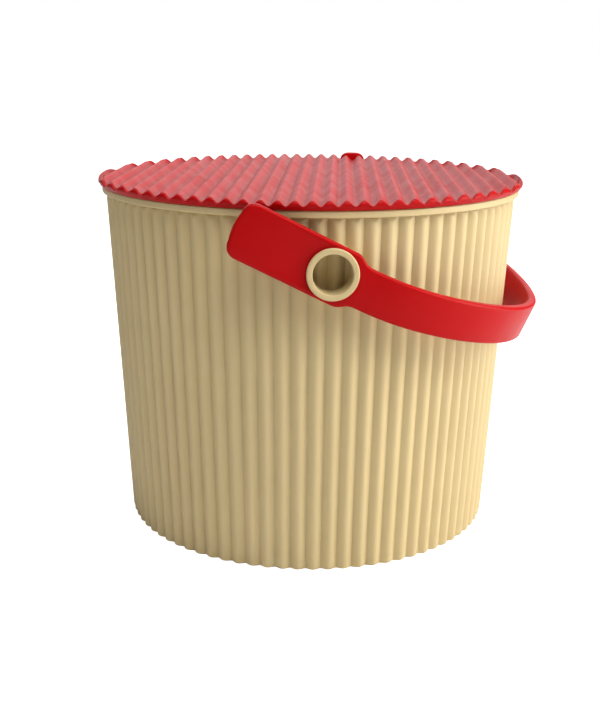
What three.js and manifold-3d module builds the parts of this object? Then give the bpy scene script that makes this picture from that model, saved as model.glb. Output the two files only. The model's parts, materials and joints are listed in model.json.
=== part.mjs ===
// A lidded bucket with ribbed walls, a corrugated lid and a one-piece strap handle.
// Millimetres, +Z up. The origin is at the centre of the floor's underside, the handle
// turns about a line along Y, and at rest its bail hangs on the +X side.
import * as THREE from "three";
import { mergeVertices } from "three/addons/utils/BufferGeometryUtils.js";
import Module from "manifold-3d";

const wasm = await Module();
wasm.setup();

// ---- Driving dimensions ----

// Bucket body
const bucketHeight = 224.6; // floor's underside to the rim's top face
const wallTopRadius = 135.3; // over the rib crests, at the rim
const wallTaper = 11.3; // how much smaller the radius is at the foot
const wallThickness = 2; // behind the grooves
const floorThickness = 2.6;
const floorFillet = 6; // inside, between floor and wall
const ribCount = 80;
const ribDepth = 2.3;
const ribSharpness = 1.3; // 2 is a plain wave, less makes broader crests
const ribShift = 0.17; // of a rib, from a groove over the pivots
const ribTopRound = 5; // height over which a rib rounds off below the rim
const footChamfer = 1.4;
const rimHeight = 4.2;
const rimOverhang = 2.3; // past the rib crests
const rimRound = 0.8;

// Lid
const lidOverhang = 2.4; // past the rim
const lidSeatGap = 0.3;
const lidEdgeHeight = 2.4; // lid's lower edge to the groove floors
const lidRibHeight = 3.3;
const lidRibPitch = 9.7;
const lidPanelThickness = 2.2; // under the grooves
const lidEdgeWidth = 4.5;
const lidEdgeDraft = 1.2; // the edge leans out towards the top
const lidEdgeRound = 2.6;
const lidSkirtDepth = 8;
const lidSkirtThickness = 2;
const lidSkirtClearance = 0.9;
const lidSkirtLeadIn = 1.5; // height of the chamfer at the skirt's lower edge
const lidTurn = THREE.MathUtils.degToRad(-6.6); // how the lid happens to be turned
const tabWidth = 18;
const tabDepth = 6;
const tabRise = 1.6; // above the rib crests
const tabGroove = 3; // the groove it closes, counted from the middle one
const tabEdgeInset = 0.3; // from the lid's edge

// Pivots
const pivotDrop = 33.6; // rim's top face to the pivot line
const ringBoreRadius = 11.45;
const ringWall = 1.75;
const ringFlangeWidth = 1.7; // past the barrel
const ringFlangeThickness = 2.4;
const ringRound = 0.9;
const ringBoreChamfer = 0.6;
const ringBarrelDepth = 5.4; // inside the boss
const bossWall = 2.5;
const fitClearance = 0.3; // between pieces that touch or turn

// Handle
const strapThickness = 5.5;
const strapWidth = 24.5; // along the bail
const strapBow = 14; // how far the bail's end stands above the tails' line
const strapLidClearance = 1.2;
const bailSwingClearance = 1.6;
const bailTilt = THREE.MathUtils.degToRad(22.4); // below level at rest, held by the pivots
const bailTwist = THREE.MathUtils.degToRad(4); // the front arm hangs lower, the rear arm higher
const bailStraight = 30; // pivot line to where the bail starts to bend
const bailBendAlong = 0.5; // fullness of the bend, along and across the bail
const bailBendAcross = 0.72;
const tailLength = 61;
const tailWidth = 33.2;
const tailCorner = 8.5;
const tailCrown = 1; // how far the tail's end bulges
const shoulderStart = 7; // pivot line to where the wide part starts to narrow
const shoulderEnd = 20;

// Facets
const roundSegments = 112; // around the bucket
const pivotSegments = 40; // around a pivot
const wallStepsPerRib = 4;
const lidStepsPerRib = 4;
const beyond = 10; // how far a cutting solid runs past what it cuts

// ---- Sizes that follow ----

const wallBottomRadius = wallTopRadius - wallTaper;
const rimRadius = wallTopRadius + rimOverhang;
const rimBottom = bucketHeight - rimHeight;
const innerBottomRadius = wallBottomRadius - ribDepth - wallThickness;
const innerTopRadius = wallTopRadius - ribDepth - wallThickness;
const lidRadius = rimRadius + lidOverhang;
const lidBottom = bucketHeight + lidSeatGap;
const lidGrooveFloor = lidBottom + lidEdgeHeight;
const lidTop = lidGrooveFloor + lidRibHeight;
const lidUnderside = lidGrooveFloor - lidPanelThickness;
const lidSkirtBottom = lidBottom - lidSkirtDepth;
const pivotHeight = bucketHeight - pivotDrop;
const barrelRadius = ringBoreRadius + ringWall;
const eyeRadius = barrelRadius + fitClearance;
const bossBoreRadius = barrelRadius + fitClearance;
const ringFlangeRadius = barrelRadius + ringFlangeWidth;
const strapInnerFace = lidRadius + strapLidClearance;
const strapOuterFace = strapInnerFace + strapThickness;
const strapMiddle = (strapInnerFace + strapOuterFace) / 2;
const bossFace = strapInnerFace - fitClearance;
const ringFlangeBack = strapOuterFace + fitClearance;
const ringFace = ringFlangeBack + ringFlangeThickness;
const bailInnerReach = Math.hypot(lidRadius, lidTop - pivotHeight) + bailSwingClearance;
const bailReach = bailInnerReach + strapThickness;

// Radius over the rib crests at a height.
function wallRadius(z) {
  return THREE.MathUtils.lerp(wallBottomRadius, wallTopRadius, z / bucketHeight);
}

// ---- Solids ----

// A closed three.js geometry as a manifold solid.
function solidOf(geometry, matrix = new THREE.Matrix4()) {
  const plain = new THREE.BufferGeometry();
  plain.setAttribute("position", geometry.getAttribute("position").clone());
  plain.setIndex(geometry.index);
  plain.applyMatrix4(matrix);
  const merged = mergeVertices(plain, 1e-3);
  const corners = merged.index.array;
  const triangles = [];
  for (let i = 0; i < corners.length; i += 3) {
    const [a, b, c] = corners.slice(i, i + 3);
    if (a !== b && b !== c && c !== a) triangles.push(a, b, c);
  }
  return new wasm.Manifold(
    new wasm.Mesh({
      numProp: 3,
      vertProperties: merged.getAttribute("position").array,
      triVerts: new Uint32Array(triangles),
    }),
  );
}

function geometryOf(solid) {
  const mesh = solid.getMesh();
  const geometry = new THREE.BufferGeometry();
  geometry.setAttribute("position", new THREE.BufferAttribute(mesh.vertProperties, 3));
  geometry.setIndex(new THREE.BufferAttribute(mesh.triVerts, 1));
  const flat = geometry.toNonIndexed();
  flat.computeVertexNormals();
  return flat;
}

// A solid of revolution about Z from [radius, height] corners, bottom to top on the outside.
function turned(corners, segments) {
  const points = corners.map(([r, z]) => new THREE.Vector2(r, z));
  const lathe = new THREE.LatheGeometry(points, segments);
  return lathe.applyMatrix4(new THREE.Matrix4().makeRotationX(Math.PI / 2));
}

// Corners of a quarter round from one direction to the next, in degrees.
function rounded(centreR, centreZ, radius, from, to, steps) {
  return Array.from({ length: steps + 1 }, (_, i) => {
    const angle = THREE.MathUtils.degToRad(from + ((to - from) * i) / steps);
    return [centreR + radius * Math.cos(angle), centreZ + radius * Math.sin(angle)];
  });
}

// Places a piece turned about Z so that its axis points out of a pivot: -1 front, +1 rear.
function outAlongY(side) {
  const place = new THREE.Matrix4().makeTranslation(0, 0, pivotHeight);
  return place.multiply(new THREE.Matrix4().makeRotationX(-side * Math.PI / 2));
}

// ---- Bucket body ----

// Height of a rib's section over its groove, as a share of the rib depth.
function ribShape(turn) {
  return Math.abs(Math.sin(Math.PI * turn)) ** ribSharpness;
}

function ribbedWall() {
  const roundStart = rimBottom - ribTopRound;
  const heights = [0, footChamfer, roundStart];
  for (const step of [0.6, 0.9, 1]) heights.push(roundStart + ribTopRound * step);
  heights.push(rimBottom + rimHeight / 2);
  const top = heights.at(-1);
  const outline = heights.map((z) => [wallRadius(z), z]);
  const wall = turned([[0, 0], ...outline, [0, top]], wallStepsPerRib * ribCount);
  const position = wall.getAttribute("position");
  const point = new THREE.Vector3();
  for (let i = 0; i < position.count; i++) {
    point.fromBufferAttribute(position, i);
    const radius = Math.hypot(point.x, point.y);
    if (radius < 1) continue;
    const turn = (Math.atan2(point.y, point.x) / (2 * Math.PI)) * ribCount;
    const round = THREE.MathUtils.clamp((point.z - roundStart) / ribTopRound, 0, 1);
    const crest = ribDepth * (Math.sqrt(1 - round * round) - 1);
    const groove = ribDepth * (ribShape(turn) - 1);
    const foot = point.z < footChamfer / 2 ? footChamfer : 0;
    const newRadius = radius + Math.min(crest, groove) - foot;
    position.setXY(i, (point.x * newRadius) / radius, (point.y * newRadius) / radius);
  }
  const shift = (-2 * Math.PI * ribShift) / ribCount;
  return solidOf(wall, new THREE.Matrix4().makeRotationZ(shift));
}

function rim() {
  const edge = rimRadius - rimRound;
  return solidOf(
    turned(
      [
        [0, rimBottom],
        ...rounded(edge, rimBottom + rimRound, rimRound, -90, 0, 2),
        ...rounded(edge, bucketHeight - rimRound, rimRound, 0, 90, 2),
        [0, bucketHeight],
      ],
      roundSegments,
    ),
  );
}

function cavity() {
  const above = bucketHeight + beyond;
  const slope = (innerTopRadius - innerBottomRadius) / bucketHeight;
  const filletCentre = innerBottomRadius + slope * floorFillet - floorFillet;
  return solidOf(
    turned(
      [
        [0, floorThickness],
        ...rounded(filletCentre, floorThickness + floorFillet, floorFillet, -90, 0, 4),
        [innerTopRadius + slope * beyond, above],
        [0, above],
      ],
      roundSegments,
    ),
  );
}

// A hollow boss: a tube that stands off the wall and takes a pivot ring's barrel.
function boss(side) {
  const root = innerTopRadius - ribDepth;
  const outer = bossBoreRadius + bossWall;
  const tube = turned(
    [
      [bossBoreRadius, root],
      [outer, root],
      [outer, bossFace],
      [bossBoreRadius, bossFace],
      [bossBoreRadius, root],
    ],
    pivotSegments,
  );
  return solidOf(tube, outAlongY(side));
}

function bucketBody() {
  return ribbedWall().add(rim()).add(boss(-1)).add(boss(1)).subtract(cavity());
}

// ---- Lid ----

// Everything under the corrugated surface, as one long extrusion along Y.
function corrugation() {
  const ribs = Math.ceil(lidRadius / lidRibPitch) + 1;
  const side = ribs * lidRibPitch;
  const below = lidSkirtBottom - beyond;
  const outline = new THREE.Shape();
  outline.moveTo(-side, below);
  outline.lineTo(side, below);
  for (let i = ribs * lidStepsPerRib; i >= -ribs * lidStepsPerRib; i--) {
    const turn = i / lidStepsPerRib;
    const wave = (1 - Math.cos(2 * Math.PI * turn)) / 2;
    outline.lineTo(turn * lidRibPitch, lidGrooveFloor + lidRibHeight * wave);
  }
  const sheet = new THREE.ExtrudeGeometry(outline, { depth: 2 * side, bevelEnabled: false });
  const place = new THREE.Matrix4().makeTranslation(0, side, 0);
  return solidOf(sheet, place.multiply(new THREE.Matrix4().makeRotationX(Math.PI / 2)));
}

function lidBlank() {
  const skirtOuter = innerTopRadius - lidSkirtClearance;
  const skirtInner = skirtOuter - lidSkirtThickness;
  const edgeInner = lidRadius - lidEdgeWidth;
  return solidOf(
    turned(
      [
        [0, lidUnderside],
        [skirtInner, lidUnderside],
        [skirtInner, lidSkirtBottom],
        [skirtOuter - lidSkirtLeadIn / 3, lidSkirtBottom],
        [skirtOuter, lidSkirtBottom + lidSkirtLeadIn],
        [skirtOuter, lidUnderside],
        [edgeInner, lidUnderside],
        [edgeInner, lidBottom],
        [lidRadius - lidEdgeDraft, lidBottom],
        ...rounded(lidRadius - lidEdgeRound, lidTop - lidEdgeRound, lidEdgeRound, 0, 90, 3),
        [0, lidTop],
      ],
      roundSegments,
    ),
  );
}

// A low rounded lip at the lid's edge that closes the end of one groove.
function lidTab() {
  const half = tabWidth / 2;
  const top = lidTop + tabRise;
  const root = (lidUnderside + lidGrooveFloor) / 2;
  const foot = lidGrooveFloor + lidRibHeight / 3;
  const outline = new THREE.Shape();
  outline.moveTo(-half, root);
  outline.lineTo(half, root);
  outline.lineTo(half, foot);
  outline.bezierCurveTo(half * 0.8, top, half * 0.5, top, 0, top);
  outline.bezierCurveTo(-half * 0.5, top, -half * 0.8, top, -half, foot);
  const depth = tabDepth + beyond;
  const lip = new THREE.ExtrudeGeometry(outline, {
    depth,
    bevelEnabled: false,
    curveSegments: 8,
  });
  const across = tabGroove * lidRibPitch;
  const outerEnd = Math.sqrt(lidRadius ** 2 - across ** 2);
  const place = new THREE.Matrix4().makeTranslation(across, outerEnd + beyond, 0);
  const stand = place.multiply(new THREE.Matrix4().makeRotationX(Math.PI / 2));
  const edge = lidRadius - tabEdgeInset;
  const corners = [[0, lidUnderside], [edge, lidUnderside], [edge, top], [0, top]];
  const limit = turned(corners, roundSegments);
  return solidOf(lip, stand).intersect(solidOf(limit));
}

function lid() {
  return corrugation().intersect(lidBlank()).add(lidTab());
}

// ---- Pivot rings ----

// A flanged sleeve: its barrel passes through the strap's eye and sits in the boss.
function pivotRing() {
  const barrelEnd = bossFace - ringBarrelDepth;
  const outer = ringFlangeRadius - ringRound;
  const bore = ringBoreRadius;
  return turned(
    [
      [bore, barrelEnd],
      [barrelRadius, barrelEnd],
      [barrelRadius, ringFlangeBack],
      ...rounded(outer, ringFlangeBack + ringRound, ringRound, -90, 0, 2),
      ...rounded(outer, ringFace - ringRound, ringRound, 0, 90, 2),
      [bore + ringBoreChamfer, ringFace],
      [bore, ringFace - ringBoreChamfer],
      [bore, barrelEnd],
    ],
    pivotSegments,
  );
}

// ---- Handle ----
// Drawn with the pivot line along Y and the bail along +X, tails along -X.

// The strap from above: two straight arms joined by a full bend.
function strapPlan() {
  const plan = new THREE.Shape();
  const back = -tailLength - beyond;
  function bend(face, reach, side) {
    const along = bailStraight + bailBendAlong * (reach - bailStraight);
    return [along, side * face, reach, side * bailBendAcross * face];
  }
  plan.moveTo(back, -strapOuterFace);
  plan.lineTo(bailStraight, -strapOuterFace);
  plan.bezierCurveTo(...bend(strapOuterFace, bailReach, -1), bailReach, 0);
  const outerBend = bend(strapOuterFace, bailReach, 1);
  plan.bezierCurveTo(...outerBend.slice(2), ...outerBend.slice(0, 2), bailStraight, strapOuterFace);
  plan.lineTo(back, strapOuterFace);
  plan.lineTo(back, strapInnerFace);
  plan.lineTo(bailStraight, strapInnerFace);
  plan.bezierCurveTo(...bend(strapInnerFace, bailInnerReach, 1), bailInnerReach, 0);
  const innerBend = bend(strapInnerFace, bailInnerReach, -1);
  plan.bezierCurveTo(...innerBend.slice(2), ...innerBend.slice(0, 2), bailStraight, -strapInnerFace);
  plan.lineTo(back, -strapInnerFace);
  return plan;
}

// The strap from the side: wide tail, shoulders, then the band that bows up to its end.
function strapSide() {
  const half = strapWidth / 2;
  const wide = tailWidth / 2;
  const end = bailReach + beyond;
  const third = (bailReach - shoulderEnd) / 3;
  const shoulder = (shoulderStart + shoulderEnd) / 2;
  const tailEnd = -tailLength + tailCrown;
  const side = new THREE.Shape();
  side.moveTo(shoulderStart, -wide);
  side.bezierCurveTo(shoulder, -wide, shoulder, -half, shoulderEnd, -half);
  side.bezierCurveTo(
    shoulderEnd + third, -half,
    shoulderEnd + 2 * third, strapBow - half,
    bailReach, strapBow - half,
  );
  side.lineTo(end, strapBow - half);
  side.lineTo(end, strapBow + half);
  side.lineTo(bailReach, strapBow + half);
  side.bezierCurveTo(
    shoulderEnd + 2 * third, strapBow + half,
    shoulderEnd + third, half,
    shoulderEnd, half,
  );
  side.bezierCurveTo(shoulder, half, shoulder, wide, shoulderStart, wide);
  side.lineTo(tailEnd + tailCorner, wide);
  side.quadraticCurveTo(tailEnd, wide, tailEnd, wide - tailCorner);
  side.quadraticCurveTo(-tailLength - tailCrown, 0, tailEnd, tailCorner - wide);
  side.quadraticCurveTo(tailEnd, -wide, tailEnd + tailCorner, -wide);
  const eye = new THREE.Path();
  eye.absarc(0, 0, eyeRadius, 0, 2 * Math.PI, true);
  side.holes.push(eye);
  return side;
}

function handle() {
  const tall = strapBow + tailWidth + beyond;
  const plan = new THREE.ExtrudeGeometry(strapPlan(), {
    depth: 2 * tall,
    bevelEnabled: false,
    curveSegments: 16,
  });
  const side = new THREE.ExtrudeGeometry(strapSide(), {
    depth: 2 * (strapOuterFace + beyond),
    bevelEnabled: false,
    curveSegments: 14,
  });
  const lower = new THREE.Matrix4().makeTranslation(0, 0, -tall);
  const stand = new THREE.Matrix4().makeTranslation(0, strapOuterFace + beyond, 0);
  stand.multiply(new THREE.Matrix4().makeRotationX(Math.PI / 2));
  return solidOf(plan, lower).intersect(solidOf(side, stand));
}

// The flexible strap hangs slightly wound up: each slice across the pivot line is turned
// about that line, the front arm down and the rear arm up.
function wound(geometry) {
  const position = geometry.getAttribute("position");
  const pivotLine = new THREE.Vector3(0, 1, 0);
  const point = new THREE.Vector3();
  for (let i = 0; i < position.count; i++) {
    point.fromBufferAttribute(position, i);
    point.applyAxisAngle(pivotLine, (-bailTwist * point.y) / strapMiddle);
    position.setXYZ(i, point.x, point.y, point.z);
  }
  geometry.computeVertexNormals();
  return geometry;
}

// ---- Assembly ----

const beige = { color: 0xd8c39a, roughness: 0.42, metalness: 0 };
const red = { color: 0xb01318, roughness: 0.38, metalness: 0 };

const root = new THREE.Group();

function place(name, geometry, look) {
  const mesh = new THREE.Mesh(geometry, new THREE.MeshStandardMaterial(look));
  mesh.name = name;
  root.add(mesh);
  return mesh;
}

place("bucket_body", geometryOf(bucketBody()), beige);
place("lid", geometryOf(lid()), red).rotation.z = lidTurn;
place("front_pivot_ring", pivotRing(), beige).applyMatrix4(outAlongY(-1));
place("rear_pivot_ring", pivotRing(), beige).applyMatrix4(outAlongY(1));

const strap = place("handle", wound(geometryOf(handle())), red);
strap.position.z = pivotHeight;
strap.rotation.y = bailTilt;

export default root;
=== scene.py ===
"""A lidded bucket: ribbed shell, corrugated lid, strap handle and two pivot rings."""

import json
import math

import bmesh
import bpy
from bpy.props import FloatProperty, FloatVectorProperty, IntProperty, PointerProperty
from mathutils import Matrix, Vector


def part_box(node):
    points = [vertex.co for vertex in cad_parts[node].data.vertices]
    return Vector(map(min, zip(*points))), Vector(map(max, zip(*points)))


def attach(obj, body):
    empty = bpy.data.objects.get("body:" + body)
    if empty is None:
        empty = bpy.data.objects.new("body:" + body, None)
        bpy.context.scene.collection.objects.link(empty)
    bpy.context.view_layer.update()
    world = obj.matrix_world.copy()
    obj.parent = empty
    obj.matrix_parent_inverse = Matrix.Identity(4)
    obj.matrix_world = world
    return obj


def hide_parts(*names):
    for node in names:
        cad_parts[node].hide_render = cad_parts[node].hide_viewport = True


bl_info = {
    "name": "Lidded bucket",
    "version": (1, 0, 0),
    "blender": (4, 5, 0),
    "location": "3D View > Sidebar > Bucket",
    "description": "Builds the bucket's shell, lid, handle and pivot rings with their plastics",
    "category": "Object",
}

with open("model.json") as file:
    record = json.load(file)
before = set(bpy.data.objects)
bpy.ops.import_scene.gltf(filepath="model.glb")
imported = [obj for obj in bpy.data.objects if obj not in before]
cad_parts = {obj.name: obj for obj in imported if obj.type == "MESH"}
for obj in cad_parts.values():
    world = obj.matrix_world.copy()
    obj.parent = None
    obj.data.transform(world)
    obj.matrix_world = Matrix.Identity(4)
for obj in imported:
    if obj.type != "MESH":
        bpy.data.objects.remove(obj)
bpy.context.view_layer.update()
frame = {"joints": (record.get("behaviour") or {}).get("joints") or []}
BODY_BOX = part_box("bucket_body")
LID_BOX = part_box("lid")
RING_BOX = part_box("front_pivot_ring")
PIVOT_HEIGHT = next(j["pos_m"][2] for j in frame["joints"] if j["name"] == "handle_swing")


# ---- Sizes and colours ----


def length(name, description, default):
    return FloatProperty(
        name=name, description=description, default=default, unit="LENGTH", subtype="DISTANCE"
    )


def angle(name, description, degrees):
    return FloatProperty(
        name=name, description=description, default=math.radians(degrees), unit="ROTATION", subtype="ANGLE"
    )


def colour(name, description, default):
    return FloatVectorProperty(
        name=name, description=description, default=default, size=3, min=0, max=1, subtype="COLOR"
    )


class ShellSizes(bpy.types.PropertyGroup):
    height: length("Height", "Floor's underside to the rim's top face", BODY_BOX[1].z)
    rim_radius: length("Rim radius", "Over the rim", BODY_BOX[1].x)
    rim_height: length("Rim height", "Of the rim's outer face", 0.0042)
    rim_overhang: length("Rim overhang", "Past the rib crests", 0.0023)
    rim_round: length("Rim round", "On the rim's edges", 0.0008)
    taper: length("Taper", "How much smaller the radius is at the foot", 0.0113)
    wall: length("Wall", "Behind the grooves", 0.002)
    floor: length("Floor", "Thickness of the floor", 0.0026)
    floor_fillet: length("Floor fillet", "Inside, between floor and wall", 0.006)
    rib_count: IntProperty(name="Ribs", description="Around the wall", default=80)
    rib_depth: length("Rib depth", "Crest to groove", 0.0023)
    rib_sharpness: FloatProperty(name="Rib sharpness", description="2 is a plain wave", default=1.3)
    rib_shift: FloatProperty(name="Rib shift", description="Share of a rib, off the pivots", default=0.17)
    rib_top: length("Rib top", "Height over which a rib rounds off below the rim", 0.005)
    foot_round: length("Foot round", "On the lower ends of the ribs", 0.0014)
    foot_ring: length("Foot ring", "Width of the flat that the bucket stands on", 0.014)
    recess: length("Recess", "How far the underside is raised inside the foot ring", 0.0008)
    gate: length("Gate mark", "Radius of the low disc in the middle of the floor", 0.012)
    boss_radius: length("Boss radius", "Outside of the boss", 0.016)
    boss_bore: length("Boss bore", "Inside radius of the boss", 0.0135)
    boss_round: length("Boss round", "On the boss's open end", 0.0004)


class LidSizes(bpy.types.PropertyGroup):
    radius: length("Radius", "Over the edge", 0.14)
    bottom: length("Lower edge", "Height of the edge's lower face", BODY_BOX[1].z + 0.0003)
    edge_height: length("Edge height", "Lower edge to the groove floors", 0.0024)
    rib_height: length("Rib height", "Groove floor to crest", 0.0033)
    rib_pitch: length("Rib pitch", "Crest to crest", 0.0097)
    panel: length("Panel", "Thickness under the grooves", 0.0022)
    edge_width: length("Edge width", "Outer lip of the underside", 0.0045)
    edge_draft: length("Edge draft", "How far the edge leans out", 0.0012)
    edge_round: length("Edge round", "On the crests at the edge", 0.0026)
    groove_round: length("Groove round", "Where a groove meets the edge", 0.0006)
    skirt_radius: length("Skirt radius", "Outside of the skirt", 0.1301)
    skirt_wall: length("Skirt wall", "Thickness of the skirt", 0.002)
    skirt_depth: length("Skirt depth", "Below the lid's lower edge", 0.008)
    skirt_lead: length("Skirt lead-in", "Height of the chamfer at the skirt's end", 0.0015)
    corner_round: length("Corner round", "On the underside's small corners", 0.0003)
    gate: length("Gate mark", "Radius of the shallow disc in the underside", 0.008)
    turn: angle("Turn", "How the lid is turned on the rim", -6.6)
    tab_width: length("Tab width", "Of the lip that closes a groove", 0.018)
    tab_depth: length("Tab depth", "From the edge inwards", 0.006)
    tab_groove: IntProperty(name="Tab groove", description="Counted from the middle", default=3)
    tab_inset: length("Tab inset", "From the lid's edge", 0.0003)
    tab_round: length("Tab round", "On the tab's ends", 0.0009)


class HandleSizes(bpy.types.PropertyGroup):
    thickness: length("Thickness", "Of the strap", 0.0055)
    width: length("Width", "Along the bail", 0.0245)
    reach: length("Reach", "Pivot line to the bail's outer face", 0.15259)
    bow: length("Bow", "How far the bail's end stands above the tails' line", 0.014)
    hang: angle("Hang", "How far below level the bail rests", 22.4)
    twist: angle("Twist", "The front arm hangs lower, the rear arm higher", 4)
    straight: length("Straight", "Pivot line to where the bail starts to bend", 0.03)
    bend_length: length("Bend length", "Of the flat strap, from there to the bail's middle", 0.215)
    flange_gap: length("Flange gap", "Between the strap and a ring's flange", 0.0003)
    bend_along: FloatProperty(name="Bend along", description="Fullness along the arms", default=0.5)
    bend_across: FloatProperty(name="Bend across", description="Fullness across them", default=0.72)
    tail_length: length("Tail length", "Pivot line to the tail's end", 0.061)
    tail_width: length("Tail width", "Of the wide part", 0.0332)
    tail_corner: length("Tail corner", "Rounding of the tail's corners", 0.0085)
    tail_crown: length("Tail crown", "How far the tail's end bulges", 0.001)
    shoulder_start: length("Shoulder start", "Where the wide part starts to narrow", 0.007)
    shoulder_end: length("Shoulder end", "Where it has narrowed", 0.02)
    eye_radius: length("Eye radius", "Hole around the pivot", 0.0135)
    edge_round: length("Edge round", "On the strap's long edges", 0.0019)
    eye_round: length("Eye round", "On the eye's edges", 0.0006)


class RingSizes(bpy.types.PropertyGroup):
    bore: length("Bore", "Radius of the bore", 0.01145)
    wall: length("Wall", "Of the barrel", 0.00175)
    flange: length("Flange", "Thickness of the flange", 0.0024)
    outer_round: length("Outer round", "On the flange's rim", 0.0009)
    lip_round: length("Lip round", "Where the face meets the bore", 0.0007)


class Finishes(bpy.types.PropertyGroup):
    shell: colour("Shell", "Sand-coloured plastic", (0.61, 0.48, 0.25))
    # The deeper colour is the plastic's own in its random patches and painted shade in its grooves.
    shell_deep: colour("Shell, deeper", "The same in its grooves and patches", (0.52, 0.395, 0.185))
    red: colour("Red", "Lid and strap plastic", (0.44, 0.001, 0.002))
    # The deeper colour is the plastic's own in its random patches and painted shade in its grooves.
    red_deep: colour("Red, deeper", "The same in its grooves and patches", (0.34, 0.0005, 0.001))
    shell_roughness: FloatProperty(name="Shell roughness", description="Satin", default=0.46)
    red_roughness: FloatProperty(name="Red roughness", description="Satin", default=0.36)


class StageSettings(bpy.types.PropertyGroup):
    camera_turn: angle("Camera turn", "Around the bucket, from the front", -5.1)
    camera_distance: length("Camera distance", "From the bucket's axis", 0.7513)
    camera_height: length("Camera height", "Above the floor", 0.3123)
    camera_pan: angle("Camera pan", "Away from the bucket's axis", 0.44)
    camera_pitch: angle("Camera pitch", "Below the horizon", 15.93)
    camera_roll: angle("Camera roll", "About the line of sight", 0.52)
    lens: FloatProperty(name="Lens", description="Focal length on a 36 mm sensor", default=55.11)
    world_glow: FloatProperty(name="Surroundings", description="Light from all round", default=0.14)
    back: FloatProperty(name="Back", description="Power of the softbox behind", default=15.0)
    overhead: FloatProperty(name="Overhead", description="Power of the top softbox", default=7.5)
    front: FloatProperty(name="Front", description="Power of the high front softbox", default=18.0)
    side: FloatProperty(name="Side", description="Power of the right softbox", default=16.0)
    fill: FloatProperty(name="Fill", description="Power of the left softbox", default=1.0)


class BucketSettings(bpy.types.PropertyGroup):
    shell: PointerProperty(type=ShellSizes)
    lid: PointerProperty(type=LidSizes)
    handle: PointerProperty(type=HandleSizes)
    ring: PointerProperty(type=RingSizes)
    finish: PointerProperty(type=Finishes)
    stage: PointerProperty(type=StageSettings)


# ---- Curves used by the pieces ----


def arc(centre_r, centre_z, radius, start, end, steps):
    """Points of an arc from one direction to another, in degrees."""
    points = []
    for i in range(steps + 1):
        a = math.radians(start + (end - start) * i / steps)
        points.append((centre_r + radius * math.cos(a), centre_z + radius * math.sin(a)))
    return points


def curve_point(controls, t):
    """A point of a Bezier curve of any degree."""
    points = [Vector(c) for c in controls]
    while len(points) > 1:
        points = [a.lerp(b, t) for a, b in zip(points, points[1:])]
    return points[0]


def curve_points(controls, steps):
    return [curve_point(controls, i / steps) for i in range(1, steps + 1)]


def smooth_step(t):
    t = min(max(t, 0.0), 1.0)
    return t * t * (3 - 2 * t)


def quarter_drop(t):
    """How far a quarter round has fallen at t of its width, from 0 to 1."""
    t = min(max(t, 0.0), 1.0)
    return 1 - math.sqrt(max(0.0, 1 - t * t))


# ---- Mesh helpers ----


def spun(profile, steps):
    """A surface of revolution about Z from (radius, height) points."""
    bm = bmesh.new()
    verts = [bm.verts.new((r, 0, z)) for r, z in profile]
    edges = [bm.edges.new(pair) for pair in zip(verts, verts[1:])]
    bmesh.ops.spin(
        bm, geom=verts + edges, cent=(0, 0, 0), axis=(0, 0, 1), dvec=(0, 0, 0),
        angle=2 * math.pi, steps=steps, use_merge=True,
    )
    bmesh.ops.remove_doubles(bm, verts=bm.verts, dist=1e-6)
    bmesh.ops.recalc_face_normals(bm, faces=bm.faces)
    return bm


def add_to(bm, other):
    """Joins another bmesh to bm."""
    mesh = bpy.data.meshes.new("joined")
    other.to_mesh(mesh)
    other.free()
    bm.from_mesh(mesh)
    bpy.data.meshes.remove(mesh)


def finished(bm, name, body, nodes, material, sharp=35):
    """Makes the piece's object, rides it on its body and gives it its finish."""
    if bm.calc_volume(signed=True) < 0:
        bmesh.ops.reverse_faces(bm, faces=bm.faces)
    mesh = bpy.data.meshes.new(name)
    bm.to_mesh(mesh)
    bm.free()
    mesh.shade_smooth()
    mesh.set_sharp_from_angle(angle=math.radians(sharp))
    piece = bpy.data.objects.new(name, mesh)
    bpy.context.scene.collection.objects.link(piece)
    mesh.materials.append(material)
    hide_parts(*nodes)
    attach(piece, body)
    return piece


def store_grooves(bm, depth_of):
    """Keeps how deep each point lies in a groove, 0 on a crest to 1 at the bottom; the finish darkens by it
    as painted shade.
    """
    layer = bm.verts.layers.float.new("groove")
    for v in bm.verts:
        v[layer] = depth_of(v.co)


# ---- Finishes ----


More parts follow.
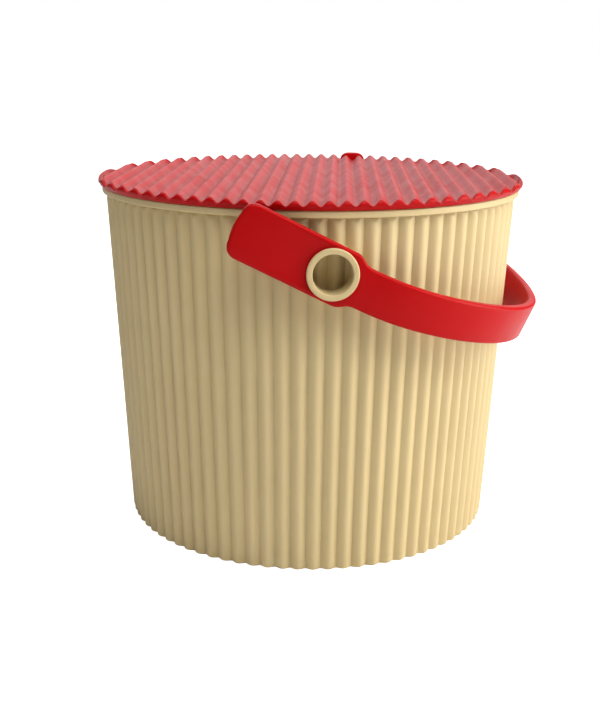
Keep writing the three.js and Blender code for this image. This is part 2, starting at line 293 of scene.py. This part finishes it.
class Nodes:
    """Short calls for a material's node tree."""

    def __init__(self, name):
        self.material = bpy.data.materials.new(name)
        self.material.use_nodes = True
        self.tree = self.material.node_tree
        self.shader = self.tree.nodes["Principled BSDF"]
        self.place = self.add("ShaderNodeTexCoord").outputs["Object"]

    def add(self, kind, inputs=None, **settings):
        node = self.tree.nodes.new(kind)
        for key, value in settings.items():
            setattr(node, key, value)
        for key, value in (inputs or {}).items():
            self.put(node.inputs[key], value)
        return node

    def put(self, socket, value):
        if isinstance(value, bpy.types.NodeSocket):
            self.tree.links.new(value, socket)
        else:
            socket.default_value = value

    def math(self, operation, a, b=0.0, clamp=False):
        return self.add("ShaderNodeMath", {0: a, 1: b}, operation=operation, use_clamp=clamp).outputs[0]

    def noise(self, scale, detail=2.0, rough=0.5, stretch=None):
        place = self.place
        if stretch:
            place = self.add("ShaderNodeMapping", {"Vector": place, "Scale": stretch}).outputs[0]
        made = self.add("ShaderNodeTexNoise", {"Vector": place, "Scale": scale, "Detail": detail})
        made.inputs["Roughness"].default_value = rough
        return made.outputs["Fac"]

    def ramp(self, value, low, high, to_low=0.0, to_high=1.0):
        made = self.add("ShaderNodeMapRange", {"Value": value, "From Min": low, "From Max": high})
        made.inputs["To Min"].default_value = to_low
        made.inputs["To Max"].default_value = to_high
        return made.outputs["Result"]

    def mix(self, share, a, b):
        made = self.add("ShaderNodeMix", {0: share}, data_type="RGBA")
        self.put(made.inputs[6], a)
        self.put(made.inputs[7], b)
        return made.outputs[2]

    def bump(self, height, strength, distance, normal=None):
        made = self.add("ShaderNodeBump", {"Height": height, "Strength": strength, "Distance": distance})
        if normal:
            self.put(made.inputs["Normal"], normal)
        return made.outputs["Normal"]


def rgba(values, scale=1.0):
    return (*(min(1.0, v * scale) for v in values), 1.0)


def moulded_plastic(name, base, deep, roughness, foot=None):
    """Satin moulded plastic: clouded colour, fine grain, handling scuffs, and painted shade in its grooves,
    mottled like dust.
    """
    n = Nodes(name)
    clouds = n.ramp(n.noise(9.0, detail=3.0), 0.35, 0.65)
    tone = n.mix(n.math("MULTIPLY", clouds, 0.35), rgba(base), rgba(deep))
    groove = n.add("ShaderNodeAttribute", attribute_name="groove").outputs["Fac"]
    # Painted shade: the colour darkens towards the groove bottoms by the groove depth, mottled by a
    # dust-like noise.
    groove_shade_and_dust = n.math("MULTIPLY", n.math("POWER", groove, 3.0), n.ramp(n.noise(30.0), 0.3, 0.7, 0.25, 0.7))
    tone = n.mix(groove_shade_and_dust, tone, rgba(deep, 0.9))

    streaks = n.noise(260.0, detail=4.0, rough=0.6, stretch=(1.0, 1.0, 0.12))
    scuffs = n.ramp(streaks, 0.66, 0.74)
    worn_spots = n.ramp(n.noise(16.0, detail=1.0), 0.5, 0.62)
    scuffs = n.math("MULTIPLY", scuffs, worn_spots)
    if foot:
        height = n.add("ShaderNodeSeparateXYZ", {"Vector": n.place}).outputs["Z"]
        low = n.ramp(height, foot, 0.0, 0.25, 1.0)
        scuffs = n.math("MULTIPLY", scuffs, low)
        grime = n.math("MULTIPLY", n.ramp(height, foot / 3, 0.0), n.ramp(n.noise(70.0), 0.4, 0.7, 0.0, 0.3))
        tone = n.mix(grime, tone, rgba(deep, 0.8))
    tone = n.mix(n.math("MULTIPLY", scuffs, 0.22), tone, rgba(base, 1.35))
    n.put(n.shader.inputs["Base Color"], tone)

    matt = n.ramp(n.noise(48.0, detail=4.0), 0.3, 0.7, roughness - 0.05, roughness + 0.06)
    n.put(n.shader.inputs["Roughness"], n.math("ADD", matt, n.math("MULTIPLY", scuffs, 0.15)))

    grain = n.bump(n.noise(2600.0, detail=2.0), 0.12, 0.00012)
    flow = n.bump(n.noise(55.0, detail=1.0), 0.05, 0.0012, grain)
    n.put(n.shader.inputs["Normal"], flow)
    n.shader.inputs["IOR"].default_value = 1.49
    return n


def shell_plastic(name, settings):
    n = moulded_plastic(name, settings.finish.shell, settings.finish.shell_deep,
                        settings.finish.shell_roughness, foot=0.045)
    n.shader.inputs["Specular IOR Level"].default_value = 0.3
    n.shader.inputs["Subsurface Weight"].default_value = 0.06
    n.shader.inputs["Subsurface Radius"].default_value = (0.004, 0.0025, 0.0012)
    n.shader.inputs["Subsurface Scale"].default_value = 1.0
    return n.material


def red_plastic(name, settings):
    n = moulded_plastic(name, settings.finish.red, settings.finish.red_deep,
                        settings.finish.red_roughness)
    n.shader.inputs["Specular IOR Level"].default_value = 0.12
    return n.material


# ---- Shell ----


def shell_profile(s):
    """Underside, wall, rim, inner wall and floor as one outline from axis to axis."""
    crest_radius = s.rim_radius - s.rim_overhang
    foot_radius = crest_radius - s.taper
    rim_bottom = s.height - s.rim_height
    rib_top_start = rim_bottom - s.rib_top
    inset = s.rib_depth + s.wall
    slope = s.taper / s.height

    def wall_radius(z):
        return foot_radius + slope * z

    ring_start = foot_radius - s.foot_ring
    points = [(0, s.recess), (ring_start, s.recess), (ring_start - 0.0005, 0), (foot_radius - 0.005, 0)]
    points += arc(foot_radius - s.foot_round, s.foot_round, s.foot_round, -90, 0, 4)
    levels = 6
    for i in range(1, levels + 1):
        z = s.foot_round + (rib_top_start - s.foot_round) * i / levels
        points.append((wall_radius(z), z))
    for t in (0.3, 0.5, 0.66, 0.8, 0.9, 0.97, 1.0):
        z = rib_top_start + s.rib_top * t
        points.append((wall_radius(z), z))
    edge = s.rim_radius - s.rim_round
    points += arc(edge, rim_bottom + s.rim_round, s.rim_round, -90, 0, 4)
    points += arc(edge, s.height - s.rim_round, s.rim_round, 0, 90, 4)
    mouth = crest_radius - inset
    points += arc(mouth + s.rim_round, s.height - s.rim_round, s.rim_round, 90, 180, 4)
    for t in (0.75, 0.5, 0.25):
        points.append((wall_radius(s.height * t) - inset, s.height * t))
    fillet_centre = wall_radius(s.floor_fillet) - inset - s.floor_fillet
    points += arc(fillet_centre, s.floor + s.floor_fillet, s.floor_fillet, 0, -90, 8)
    gate_height = s.floor + 0.0003
    points += [(s.gate, s.floor), (s.gate - 0.0005, gate_height), (0, gate_height)]
    return points


def shape_ribs(bm, s):
    crest_radius = s.rim_radius - s.rim_overhang
    foot_radius = crest_radius - s.taper
    rim_bottom = s.height - s.rim_height
    rib_top_start = rim_bottom - s.rib_top
    # The groove depth kept here darkens the finish as painted shade in the grooves.
    layer = bm.verts.layers.float.new("groove")
    for v in bm.verts:
        radius = math.hypot(v.co.x, v.co.y)
        wall = foot_radius + s.taper * v.co.z / s.height
        outside = wall - s.rib_depth < radius < wall + 1e-5 and v.co.z < rim_bottom + 1e-6
        if not outside:
            continue
        turn = math.atan2(v.co.y, v.co.x) / (2 * math.pi) * s.rib_count
        rib = abs(math.sin(math.pi * turn)) ** s.rib_sharpness
        crest = 1 - quarter_drop((v.co.z - rib_top_start) / s.rib_top)
        drop = s.rib_depth * (1 - min(rib, crest))
        v[layer] = 1 - min(rib, crest)
        v.co.xy *= (radius - drop) / radius
    shift = Matrix.Rotation(-2 * math.pi * s.rib_shift / s.rib_count, 3, "Z")
    bmesh.ops.rotate(bm, verts=bm.verts, cent=(0, 0, 0), matrix=shift)


def boss(s, side):
    """A tube that stands off the wall and takes a pivot ring's barrel."""
    face = BODY_BOX[1].y
    root = s.rim_radius - s.rim_overhang - s.rib_depth * 2 - s.wall + 0.001
    lip = s.boss_round
    bm = spun(
        [
            (s.boss_bore, root),
            (s.boss_radius, root),
            *arc(s.boss_radius - lip, face - lip, lip, 0, 90, 3),
            *arc(s.boss_bore + lip, face - lip, lip, 90, 180, 3),
            (s.boss_bore, root),
        ],
        96,
    )
    bmesh.ops.rotate(bm, verts=bm.verts, cent=(0, 0, 0), matrix=Matrix.Rotation(-side * math.pi / 2, 3, "X"))
    bmesh.ops.translate(bm, verts=bm.verts, vec=(0, 0, PIVOT_HEIGHT))
    return bm


class BUCKET_OT_shell(bpy.types.Operator):
    """Make the ribbed shell with its rim, floor and bosses"""

    bl_idname = "bucket.shell"
    bl_label = "Shell"

    def execute(self, context):
        settings = context.scene.bucket
        s = settings.shell
        bm = spun(shell_profile(s), 10 * s.rib_count)
        shape_ribs(bm, s)
        for side in (-1, 1):
            add_to(bm, boss(s, side))
        finished(bm, "shell", "bucket", ["bucket_body"],
                 shell_plastic("sand_plastic", settings))
        return {"FINISHED"}


# ---- Lid ----


class LidSurface:
    """Heights of the corrugated top: waves across X, rounded off at the edge."""

    def __init__(self, s):
        self.s = s
        self.groove_floor = s.bottom + s.edge_height
        self.top = self.groove_floor + s.rib_height

    def depth(self, x):
        return (1 + math.cos(2 * math.pi * x / self.s.rib_pitch)) / 2

    def height(self, x, radius):
        s = self.s
        wave = self.top - s.rib_height * self.depth(x)
        crest = (radius - (s.radius - s.edge_round)) / s.edge_round
        limit = self.top - s.edge_round * quarter_drop(crest)
        groove = (radius - (s.radius - s.groove_round)) / s.groove_round
        return min(wave, limit) - s.groove_round * quarter_drop(groove) * self.depth(x)

    def edge_radius(self, z):
        """The edge leans in from its crest towards the lower edge."""
        s = self.s
        crest = self.top - s.edge_round
        return s.radius - s.edge_draft * max(0.0, (crest - z) / (crest - s.bottom))


def lid_disc(s, surface):
    """The corrugated top, as a grid drawn out to a round."""
    columns = 2 * round(math.pi * s.radius / s.rib_pitch * 4)
    bm = bmesh.new()
    bmesh.ops.create_grid(bm, x_segments=columns, y_segments=10, size=1)
    inner = s.radius - 1.2 * s.edge_round
    for v in bm.verts:
        a = v.co.x * math.pi / 2
        v.co = (inner * math.sin(a), v.co.y * inner * math.cos(a), 0)
    bmesh.ops.remove_doubles(bm, verts=bm.verts, dist=1e-6)
    for v in bm.verts:
        v.co.z = surface.height(v.co.x, v.co.xy.length)
    return bm


def extend(bm, loop, place):
    """Extrudes an edge loop and puts each new point where place says."""
    made = bmesh.ops.extrude_edge_only(bm, edges=loop)
    for v in (g for g in made["geom"] if isinstance(g, bmesh.types.BMVert)):
        v.co = place(v.co)
    return [g for g in made["geom"] if isinstance(g, bmesh.types.BMEdge) and g.is_boundary]


def lid_shell(s, surface):
    bm = lid_disc(s, surface)
    loop = [e for e in bm.edges if e.is_boundary]

    def ring(radius, height):
        def place(point):
            across = point.xy.normalized() * radius
            return Vector((across.x, across.y, height(across) if callable(height) else height))
        return place

    for t in (0.3, 0.5, 0.66, 0.8, 0.9, 0.96, 0.99, 1.0):
        radius = s.radius - s.edge_round * (1 - t)

        def rounded(across, r=radius):
            return surface.height(across.x * s.radius / r, r)

        loop = extend(bm, loop, ring(radius, rounded))
    low = s.bottom + 0.0005
    for share in (0.35, 0.7, 1.0):
        def sink(point, k=share):
            z = point.z + (low - point.z) * k
            across = point.xy.normalized() * surface.edge_radius(z)
            return Vector((across.x, across.y, z))
        loop = extend(bm, loop, sink)
    edge = surface.edge_radius(s.bottom)
    underside = surface.groove_floor - s.panel
    skirt_bottom = s.bottom - s.skirt_depth
    lead = s.skirt_lead
    small = s.corner_round
    inner = s.skirt_radius - s.skirt_wall
    outline = [
        (edge - 0.0002, s.bottom + 0.00015),
        (edge - 0.0006, s.bottom),
        (s.radius - s.edge_width, s.bottom),
        (s.radius - s.edge_width, underside),
        (s.skirt_radius + 0.0004, underside),
        (s.skirt_radius, underside - 0.0004),
        (s.skirt_radius, skirt_bottom + lead),
        (s.skirt_radius - lead / 3, skirt_bottom + 0.0002),
        (s.skirt_radius - lead / 3 - small, skirt_bottom),
        (inner + small, skirt_bottom),
        (inner, skirt_bottom + small),
        (inner, underside - 0.0006),
        (inner - 0.0006, underside),
        (inner * 0.5, underside),
        (s.gate, underside),
        (s.gate - 0.0005, underside - small),
        (0.0005, underside - small),
    ]
    for radius, height in outline:
        loop = extend(bm, loop, ring(radius, height))
    bmesh.ops.edgeloop_fill(bm, edges=loop)
    bmesh.ops.recalc_face_normals(bm, faces=bm.faces)
    return bm


def lid_tab(s, surface):
    """A low rounded lip at the edge that closes the end of one groove."""
    half = s.tab_width / 2
    top = LID_BOX[1].z
    foot = surface.groove_floor + s.rib_height / 3
    root = surface.groove_floor - s.panel / 2
    start, end = Vector((half, foot)), Vector((-half, foot))
    outline = [start, *curve_points([start, (half * 0.8, top), (half * 0.5, top), (0, top)], 10)]
    outline += curve_points([(0, top), (-half * 0.5, top), (-half * 0.8, top), end], 10)
    outline += [Vector((-half, root)), Vector((half, root))]
    across = s.tab_groove * s.rib_pitch
    limit = s.radius - s.tab_inset
    back = math.sqrt(limit ** 2 - across ** 2)
    bm = bmesh.new()
    face = bm.faces.new([bm.verts.new((across + p.x, 0, p.y)) for p in outline])
    made = bmesh.ops.extrude_face_region(bm, geom=[face], use_keep_orig=True)
    outer = [g for g in made["geom"] if isinstance(g, bmesh.types.BMVert)]
    for v in bm.verts:
        v.co.y = back - s.tab_depth
    for v in outer:
        v.co.y = math.sqrt(limit ** 2 - v.co.x ** 2)
    bmesh.ops.recalc_face_normals(bm, faces=bm.faces)
    rims = [e for e in bm.edges if e.calc_face_angle(0) > 1.2 and min(v.co.z for v in e.verts) > root + 1e-5]
    bmesh.ops.bevel(bm, geom=rims, offset=s.tab_round, segments=4, profile=0.5, affect="EDGES", material=-1)
    return bm


class BUCKET_OT_lid(bpy.types.Operator):
    """Make the corrugated lid with its skirt and tab"""

    bl_idname = "bucket.lid"
    bl_label = "Lid"

    def execute(self, context):
        settings = context.scene.bucket
        s = settings.lid
        surface = LidSurface(s)
        bm = lid_shell(s, surface)
        top_start = surface.groove_floor - 1e-4
        store_grooves(bm, lambda p: surface.depth(p.x) if p.z > top_start else 0.0)
        add_to(bm, lid_tab(s, surface))
        bmesh.ops.rotate(bm, verts=bm.verts, cent=(0, 0, 0), matrix=Matrix.Rotation(s.turn, 3, "Z"))
        finished(bm, "lid_panel", "lid", ["lid"], red_plastic("lid_red", settings))
        return {"FINISHED"}


# ---- Pivot rings ----


class BUCKET_OT_rings(bpy.types.Operator):
    """Make the two flanged pivot rings"""

    bl_idname = "bucket.rings"
    bl_label = "Pivot rings"

    def execute(self, context):
        settings = context.scene.bucket
        s = settings.ring
        material = shell_plastic("ring_sand_plastic", settings)
        face = -RING_BOX[0].y
        end = -RING_BOX[1].y
        flange_radius = RING_BOX[1].x
        barrel = s.bore + s.wall
        back = face - s.flange
        outer = flange_radius - s.outer_round
        profile = [
            (s.bore, end),
            (barrel, end),
            (barrel, back),
            *arc(outer, back + s.outer_round, s.outer_round, -90, 0, 4),
            *arc(outer, face - s.outer_round, s.outer_round, 0, 90, 6),
            *arc(s.bore + s.lip_round, face - s.lip_round, s.lip_round, 90, 180, 6),
            (s.bore, end),
        ]
        for name, side in (("front_pivot_ring", -1), ("rear_pivot_ring", 1)):
            bm = spun(profile, 128)
            turn = Matrix.Rotation(-side * math.pi / 2, 3, "X")
            bmesh.ops.rotate(bm, verts=bm.verts, cent=(0, 0, 0), matrix=turn)
            bmesh.ops.translate(bm, verts=bm.verts, vec=(0, 0, PIVOT_HEIGHT))
            finished(bm, name.replace("pivot", "eye"), "bucket", [name], material)
        return {"FINISHED"}


# ---- Handle ----


class Strap:
    """The strap drawn flat, then bent: s runs along it, z across it."""

    def __init__(self, s, flange):
        self.s = s
        self.outer_face = -RING_BOX[0].y - flange - s.flange_gap
        self.inner_face = self.outer_face - s.thickness
        self.middle = s.straight + s.bend_length

    def bend(self, face, reach):
        s = self.s
        along = s.straight + s.bend_along * (reach - s.straight)
        return [(s.straight, face), (along, face), (reach, s.bend_across * face), (reach, 0)]

    def plan(self, place, depth):
        """Where a point of the flat strap goes, seen from above: (out from the pivot line, across)."""
        if place <= self.s.straight:
            return place, self.inner_face + depth
        t = (place - self.s.straight) / self.s.bend_length
        inner = curve_point(self.bend(self.inner_face, self.s.reach - self.s.thickness), t)
        outer = curve_point(self.bend(self.outer_face, self.s.reach), t)
        return inner.lerp(outer, depth / self.s.thickness)

    def centre(self, place):
        """Height of the strap's middle line: the bail bows up to its end."""
        s = self.s
        out = self.plan(place, s.thickness / 2)[0]
        return s.bow * smooth_step((out - s.shoulder_end) / (s.reach - s.shoulder_end))

    def edge(self, side):
        """The long edge from the tail's tip to the bail's middle, on one side."""
        s = self.s
        half, wide = s.width / 2, s.tail_width / 2
        tip = -s.tail_length + s.tail_crown
        end = -s.tail_length - s.tail_crown
        crown = [(tip, wide - s.tail_corner), (end, 0), (tip, s.tail_corner - wide)]
        points = [curve_point(crown, 0.5 - 0.5 * i / 6) for i in range(0, 7)]
        points += curve_points([(tip, wide - s.tail_corner), (tip, wide), (tip + s.tail_corner, wide)], 12)
        points.append(Vector((s.shoulder_start, wide)))
        middle = (s.shoulder_start + s.shoulder_end) / 2
        shoulder = [(s.shoulder_start, wide), (middle, wide), (middle, half), (s.shoulder_end, half)]
        points += curve_points(shoulder, 12)
        points = [Vector((p[0], side * p[1])) for p in points]
        for place in self.stations():
            points.append(Vector((place, self.centre(place) + side * half)))
        return points

    def stations(self):
        """Where the bail is cut across, so that it can bend."""
        steps = 40
        first = [self.s.shoulder_end + (self.s.straight - self.s.shoulder_end) * i / 3 for i in (1, 2, 3)]
        return first + [self.s.straight + self.s.bend_length * i / steps for i in range(1, steps + 1)]

    def half_sheet(self, bm, side):
        """One half of the flat strap's front arm, above or below its middle line."""
        eye = self.s.eye_radius
        path = self.edge(side)
        back = [Vector((place, self.centre(place))) for place in reversed(self.stations()[:-1])]
        back.insert(0, Vector((self.middle, self.centre(self.middle))))
        back.append(Vector((self.s.shoulder_end, 0)))
        steps = 24
        for i in range(steps + 1):
            a = math.pi * i / steps
            back.append(Vector((eye * math.cos(a), side * eye * math.sin(a))))
        return bm.faces.new([bm.verts.new((p.x, 0, p.y)) for p in path + back])

    def flat(self):
        """The whole strap unrolled, both arms, as a thick sheet with rounded edges."""
        s = self.s
        bm = bmesh.new()
        for side in (1, -1):
            self.half_sheet(bm, side)
        bmesh.ops.remove_doubles(bm, verts=bm.verts, dist=1e-6)
        for place in self.stations()[:-1] + [s.shoulder_end]:
            bmesh.ops.bisect_plane(
                bm, geom=bm.verts[:] + bm.edges[:] + bm.faces[:], dist=1e-6,
                plane_co=(place, 0, 0), plane_no=(1, 0, 0),
            )
        bmesh.ops.translate(bm, verts=bm.verts, vec=(-self.middle, 0, 0))
        bmesh.ops.mirror(bm, geom=bm.verts[:] + bm.edges[:] + bm.faces[:], axis="X", merge_dist=1e-6)
        bmesh.ops.translate(bm, verts=bm.verts, vec=(self.middle, 0, 0))
        bmesh.ops.remove_doubles(bm, verts=bm.verts, dist=1e-6)
        bmesh.ops.recalc_face_normals(bm, faces=bm.faces)
        made = bmesh.ops.extrude_face_region(bm, geom=bm.faces[:], use_keep_orig=True)
        new = [g for g in made["geom"] if isinstance(g, bmesh.types.BMVert)]
        bmesh.ops.translate(bm, verts=new, vec=(0, s.thickness, 0))
        bmesh.ops.recalc_face_normals(bm, faces=bm.faces)
        corners = [e for e in bm.edges if e.calc_face_angle(0) > 1.2]

        def round_eye(edge):
            for v in edge.verts:
                for centre in (0, 2 * self.middle):
                    if math.hypot(v.co.x - centre, v.co.z) < s.eye_radius + 1e-4:
                        return True
            return False

        eyes = [e for e in corners if round_eye(e)]
        edges = [e for e in corners if not round_eye(e)]
        bmesh.ops.bevel(
            bm, geom=edges, offset=s.edge_round, segments=6, profile=0.5, affect="EDGES", material=-1
        )
        eyes = [e for e in eyes if e.is_valid]
        bmesh.ops.bevel(
            bm, geom=eyes, offset=s.eye_round, segments=3, profile=0.5, affect="EDGES", material=-1
        )
        return bm

    def bent(self):
        bm = self.flat()
        for v in bm.verts:
            beyond = v.co.x > self.middle
            place = 2 * self.middle - v.co.x if beyond else v.co.x
            out, across = self.plan(place, v.co.y)
            across = across if beyond else -across
            share = across / (self.inner_face + self.s.thickness / 2)
            v.co = Matrix.Rotation(-self.s.twist * share, 3, "Y") @ Vector((out, across, v.co.z))
        bmesh.ops.recalc_face_normals(bm, faces=bm.faces)
        return bm


class BUCKET_OT_handle(bpy.types.Operator):
    """Make the strap handle, hanging at rest"""

    bl_idname = "bucket.handle"
    bl_label = "Handle"

    def execute(self, context):
        settings = context.scene.bucket
        strap = Strap(settings.handle, settings.ring.flange)
        bm = strap.bent()
        turn = Matrix.Rotation(settings.handle.hang, 3, "Y")
        bmesh.ops.rotate(bm, verts=bm.verts, cent=(0, 0, 0), matrix=turn)
        bmesh.ops.translate(bm, verts=bm.verts, vec=(0, 0, PIVOT_HEIGHT))
        finished(bm, "strap", "handle", ["handle"],
                 red_plastic("strap_red", settings), sharp=50)
        return {"FINISHED"}


# ---- Stage ----


def softbox(name, place, target, size, power, tint=(1, 1, 1)):
    light = bpy.data.lights.new(name, "AREA")
    light.shape = "RECTANGLE"
    light.size, light.size_y = size
    light.energy = power
    light.color = tint
    lamp = bpy.data.objects.new(name, light)
    bpy.context.scene.collection.objects.link(lamp)
    lamp.visible_camera = False
    aim = Vector(target) - Vector(place)
    lamp.location = place
    lamp.rotation_euler = aim.to_track_quat("-Z", "Y").to_euler()
    return lamp


def floor_finish():
    n = Nodes("pale_floor")
    tone = n.mix(n.ramp(n.noise(3.0), 0.3, 0.7, 0.0, 0.4), (0.9, 0.9, 0.9, 1), (0.88, 0.88, 0.875, 1))
    n.put(n.shader.inputs["Base Color"], tone)
    n.shader.inputs["Roughness"].default_value = 0.8
    n.shader.inputs["Emission Color"].default_value = (1, 1, 1, 1)
    seen = n.add("ShaderNodeLightPath").outputs["Is Camera Ray"]
    n.put(n.shader.inputs["Emission Strength"], n.math("MULTIPLY", seen, 0.95))
    return n.material


class BUCKET_OT_stage(bpy.types.Operator):
    """Make the floor, the lights and the camera"""

    bl_idname = "bucket.stage"
    bl_label = "Stage"

    def execute(self, context):
        s = context.scene.bucket.stage
        bm = bmesh.new()
        bmesh.ops.create_circle(bm, cap_ends=True, segments=96, radius=30)
        mesh = bpy.data.meshes.new("floor")
        bm.to_mesh(mesh)
        bm.free()
        mesh.materials.append(floor_finish())
        floor = bpy.data.objects.new("floor", mesh)
        context.scene.collection.objects.link(floor)
        floor.location.z = -0.0002

        world = bpy.data.worlds.new("surroundings")
        world.use_nodes = True
        context.scene.world = world
        tree = world.node_tree
        plain = tree.nodes["Background"]
        plain.inputs["Color"].default_value = (1, 1, 1, 1)
        plain.inputs["Strength"].default_value = s.world_glow
        seen = tree.nodes.new("ShaderNodeBackground")
        path = tree.nodes.new("ShaderNodeLightPath")
        mix = tree.nodes.new("ShaderNodeMixShader")
        tree.links.new(path.outputs["Is Camera Ray"], mix.inputs[0])
        tree.links.new(plain.outputs[0], mix.inputs[1])
        tree.links.new(seen.outputs[0], mix.inputs[2])
        seen.inputs["Color"].default_value = (1, 1, 1, 1)
        tree.links.new(mix.outputs[0], tree.nodes["World Output"].inputs["Surface"])

        middle = (0, 0, BODY_BOX[1].z / 2)
        softbox("back_softbox", (0.2, 2.2, 1.1), middle, (3.0, 1.7), s.back)
        softbox("overhead_softbox", (0.0, 0.2, 1.3), middle, (1.2, 1.0), s.overhead)
        softbox("front_softbox", (0.4, -0.85, 1.55), middle, (1.2, 0.9), s.front)
        softbox("right_softbox", (1.15, -0.3, 0.55), middle, (0.8, 1.0), s.side, (1.0, 0.985, 0.96))
        softbox("left_softbox", (-1.0, -0.7, 0.5), middle, (0.8, 0.8), s.fill)

        camera = bpy.data.cameras.new("camera")
        camera.sensor_width = 36
        camera.lens = s.lens
        camera.clip_start = 0.01
        eye = bpy.data.objects.new("camera", camera)
        context.scene.collection.objects.link(eye)
        turn = Matrix.Rotation(s.camera_turn + s.camera_pan, 4, "Z")
        pitch = Matrix.Rotation(math.pi / 2 - s.camera_pitch, 4, "X")
        eye.matrix_world = turn @ pitch @ Matrix.Rotation(s.camera_roll, 4, "Z")
        around = Matrix.Rotation(s.camera_turn, 3, "Z")
        eye.location = around @ Vector((0, -s.camera_distance, s.camera_height))
        context.scene.camera = eye
        context.scene.view_settings.view_transform = "Standard"
        return {"FINISHED"}


# ---- Panel and registration ----


OPERATORS = (BUCKET_OT_shell, BUCKET_OT_lid, BUCKET_OT_rings, BUCKET_OT_handle, BUCKET_OT_stage)
GROUPS = (ShellSizes, LidSizes, HandleSizes, RingSizes, Finishes, StageSettings, BucketSettings)


class BUCKET_PT_pieces(bpy.types.Panel):
    """The bucket's sizes, finishes and pieces"""

    bl_idname = "BUCKET_PT_pieces"
    bl_label = "Bucket"
    bl_space_type = "VIEW_3D"
    bl_region_type = "UI"
    bl_category = "Bucket"

    def draw(self, context):
        settings = context.scene.bucket
        for group in (settings.shell, settings.lid, settings.ring, settings.handle,
                      settings.finish, settings.stage):
            box = self.layout.box()
            for key in group.__annotations__:
                box.prop(group, key)
        for operator in OPERATORS:
            self.layout.operator(operator.bl_idname)


def register():
    for cls in (*GROUPS, *OPERATORS, BUCKET_PT_pieces):
        bpy.utils.register_class(cls)
    bpy.types.Scene.bucket = PointerProperty(type=BucketSettings)


def unregister():
    del bpy.types.Scene.bucket
    for cls in reversed((*GROUPS, *OPERATORS, BUCKET_PT_pieces)):
        bpy.utils.unregister_class(cls)


def main():
    register()
    bpy.ops.bucket.shell()
    bpy.ops.bucket.lid()
    bpy.ops.bucket.rings()
    bpy.ops.bucket.handle()
    bpy.ops.bucket.stage()
    bpy.context.view_layer.update()


if __name__ == "__main__":
    main()
